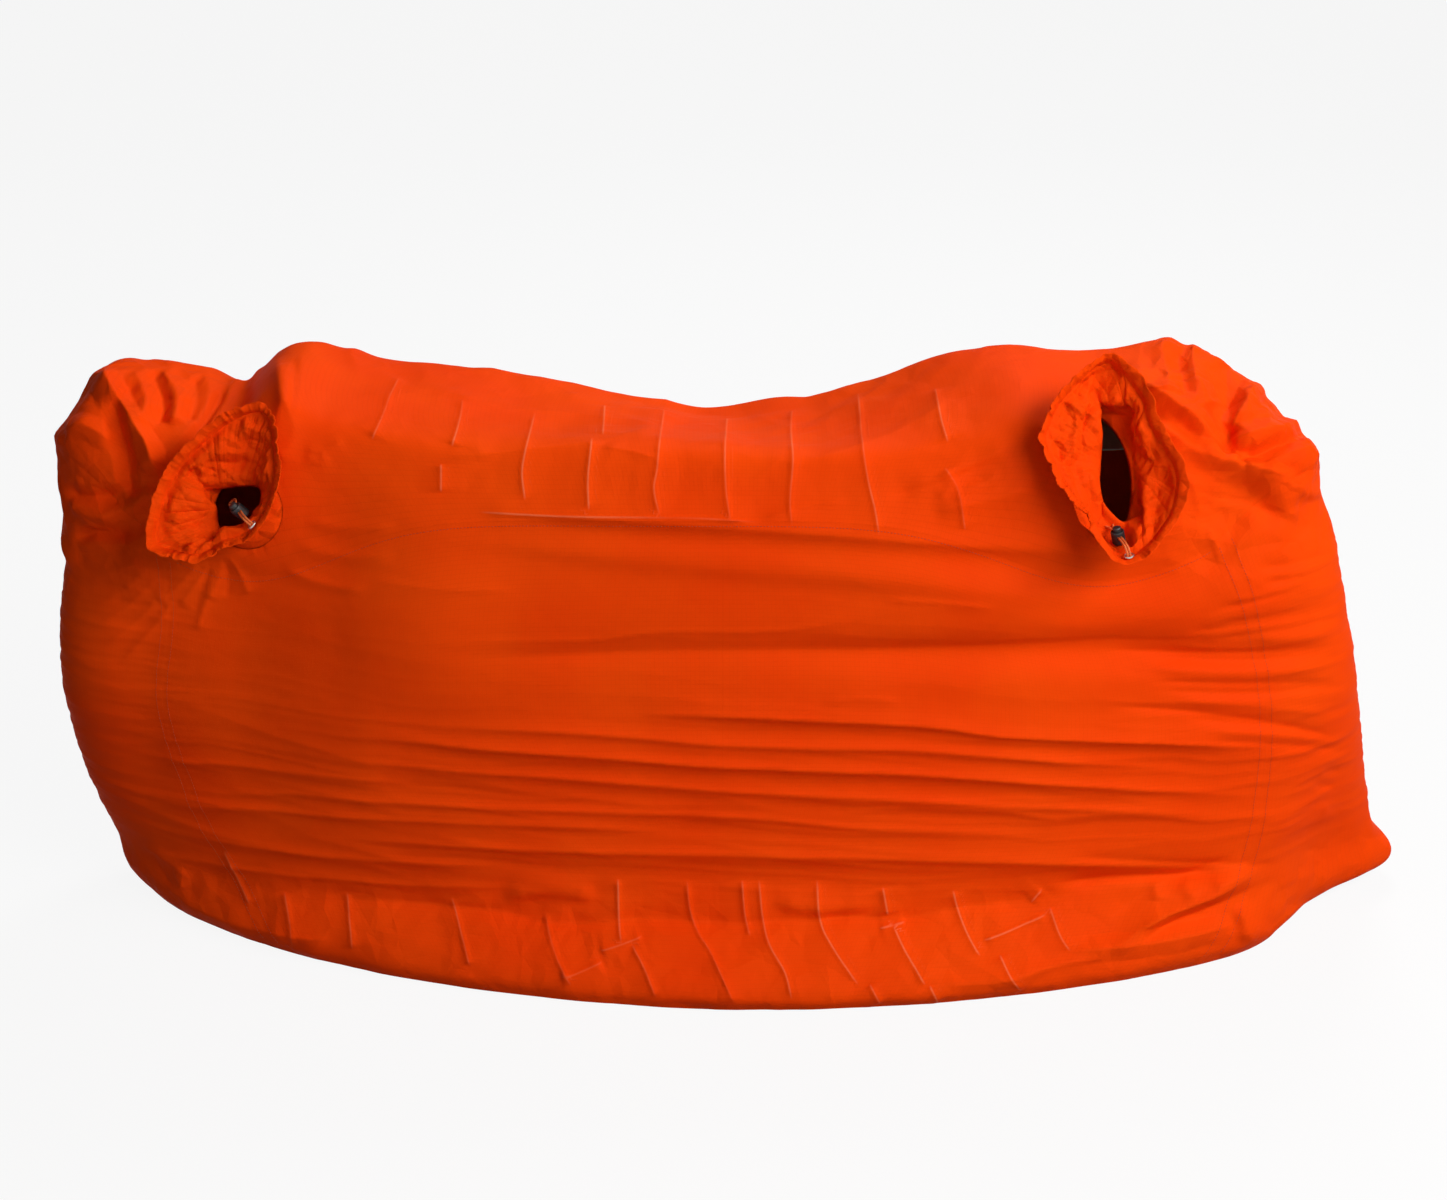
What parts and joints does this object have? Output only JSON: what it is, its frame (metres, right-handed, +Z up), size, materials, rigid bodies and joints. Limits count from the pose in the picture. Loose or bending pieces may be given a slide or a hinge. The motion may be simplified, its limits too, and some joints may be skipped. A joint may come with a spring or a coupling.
{
  "type": "survival shelter",
  "caption": "Thin coated fabric bag without poles, draped as its sitters hold it up, with gathered vent collars in the roof front, each closed by an elastic drawcord with a push-button cord lock.",
  "frame": {"origin": "middle of the outer bounds, on the floor", "axes": "+Z up; +X along the length, toward the empty crumpled corner; -Y the front wall, with both vent mouths above it; +Y the back wall"},
  "size_m": [1.7044, 0.5384, 0.7669],
  "materials": {
    "ripstop_nylon_orange": "coated ripstop weave, slight sheen",
    "ripstop_nylon_collar": "coated ripstop weave, slight sheen",
    "seam_tape": "translucent film tape",
    "hem_nylon": "turned and stitched fabric",
    "elastic_cord_orange": "braided elastic cord",
    "black_plastic": "moulded, satin",
    "plated_steel": "nickel plated"
  },
  "bodies": {
    "shelter": {"front_panel": "ripstop_nylon_orange", "back_panel": "ripstop_nylon_orange", "left_end_panel": "ripstop_nylon_orange", "right_end_panel": "ripstop_nylon_orange", "roof_panel": "ripstop_nylon_orange", "front_left_seam_tape": "seam_tape", "front_right_seam_tape": "seam_tape", "back_left_seam_tape": "seam_tape", "back_right_seam_tape": "seam_tape", "roof_front_seam_tape": "seam_tape", "roof_back_seam_tape": "seam_tape", "roof_left_seam_tape": "seam_tape", "roof_right_seam_tape": "seam_tape", "front_hem": "hem_nylon", "back_hem": "hem_nylon", "left_end_hem": "hem_nylon", "right_end_hem": "hem_nylon", "left_vent_collar": "ripstop_nylon_collar", "right_vent_collar": "ripstop_nylon_collar"},
    "left_rim": {"left_vent_channel": "ripstop_nylon_collar", "left_drawcord": "elastic_cord_orange", "left_eyelet": "plated_steel"},
    "left_lock": {"left_lock_barrel": "black_plastic", "left_lock_spring": "plated_steel"},
    "left_button": {"left_lock_plunger": "black_plastic"},
    "right_rim": {"right_vent_channel": "ripstop_nylon_collar", "right_drawcord": "elastic_cord_orange", "right_eyelet": "plated_steel"},
    "right_lock": {"right_lock_barrel": "black_plastic", "right_lock_spring": "plated_steel"},
    "right_button": {"right_lock_plunger": "black_plastic"}
  },
  "joints": [
    {"name": "left_rim_slide", "type": "slide", "parent": "shelter", "child": "left_rim", "axis": [-0.02, -0.8798, 0.4749], "range_m": [-0.015, 0.015], "deforming": ["left_vent_collar"]},
    {"name": "left_lock_slide", "type": "slide", "parent": "left_rim", "child": "left_lock", "axis": [-0.389, 0.9175, -0.0826], "range_m": [-0.008, 0.01]},
    {"name": "left_button_press", "type": "slide", "parent": "left_lock", "child": "left_button", "axis": [0.6358, 0.2026, -0.7448], "range_m": [0, 0.0035], "stiffness_N_per_m": 500, "springref_m": -0.002, "deforming": ["left_lock_spring"]},
    {"name": "right_rim_slide", "type": "slide", "parent": "shelter", "child": "right_rim", "axis": [0.0401, -0.8524, 0.5214], "range_m": [-0.015, 0.015], "deforming": ["right_vent_collar"]},
    {"name": "right_lock_slide", "type": "slide", "parent": "right_rim", "child": "right_lock", "axis": [-0.2009, 0.9796, 0.0083], "range_m": [-0.008, 0.01]},
    {"name": "right_button_press", "type": "slide", "parent": "right_lock", "child": "right_button", "axis": [0.2358, 0.0566, -0.9702], "range_m": [0, 0.0035], "stiffness_N_per_m": 500, "springref_m": -0.002, "deforming": ["right_lock_spring"]}
  ]
}
